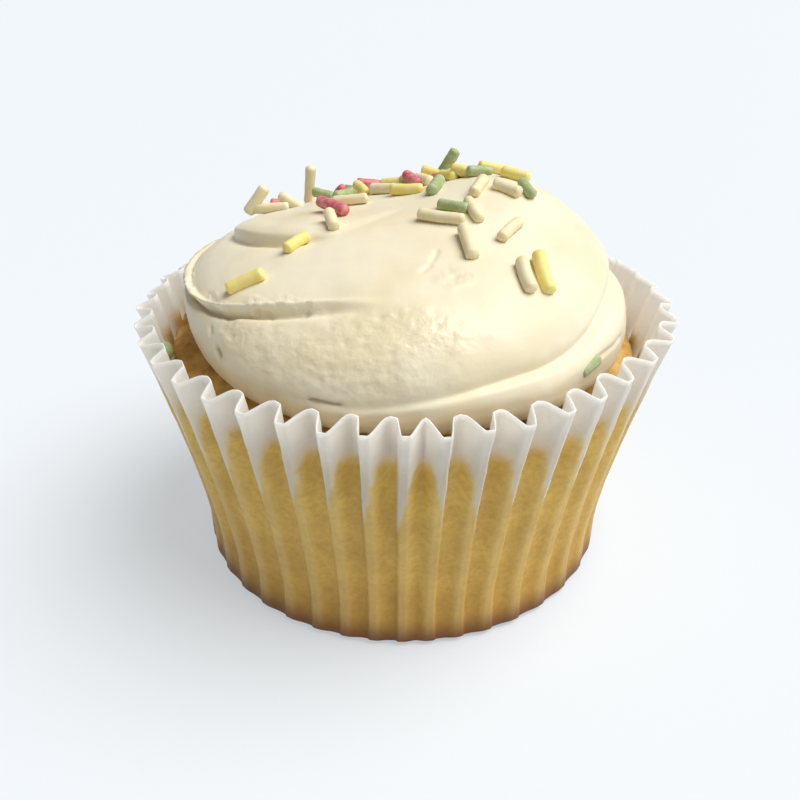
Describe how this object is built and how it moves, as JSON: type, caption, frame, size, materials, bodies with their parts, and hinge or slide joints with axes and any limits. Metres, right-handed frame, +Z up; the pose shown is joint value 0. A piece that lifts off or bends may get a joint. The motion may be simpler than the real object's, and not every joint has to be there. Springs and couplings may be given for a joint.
{
  "type": "cupcake",
  "caption": "Cupcake: sponge in an opened-out pleated paper case, topped with a knife-spread swirl of pale buttercream and pastel sugar strands.",
  "frame": {"origin": "centre of the paper case's flat bottom, on the surface the cupcake stands on", "axes": "+Z up; -Y towards the front; +X to the right as seen from the front"},
  "size_m": [0.0627, 0.0608, 0.0439],
  "materials": {
    "greaseproof_paper": "thin translucent white baking paper, warmed by the cake behind it",
    "sponge_cake": "matte baked crust and open crumb",
    "buttercream": "soft satin, spread with a knife",
    "red_sugar": "matte pressed sugar",
    "yellow_sugar": "matte pressed sugar",
    "green_sugar": "matte pressed sugar",
    "cream_sugar": "matte pressed sugar"
  },
  "bodies": {
    "root": {"paper_case": "greaseproof_paper", "sponge": "sponge_cake", "icing": "buttercream"}
  },
  "joints": []
}
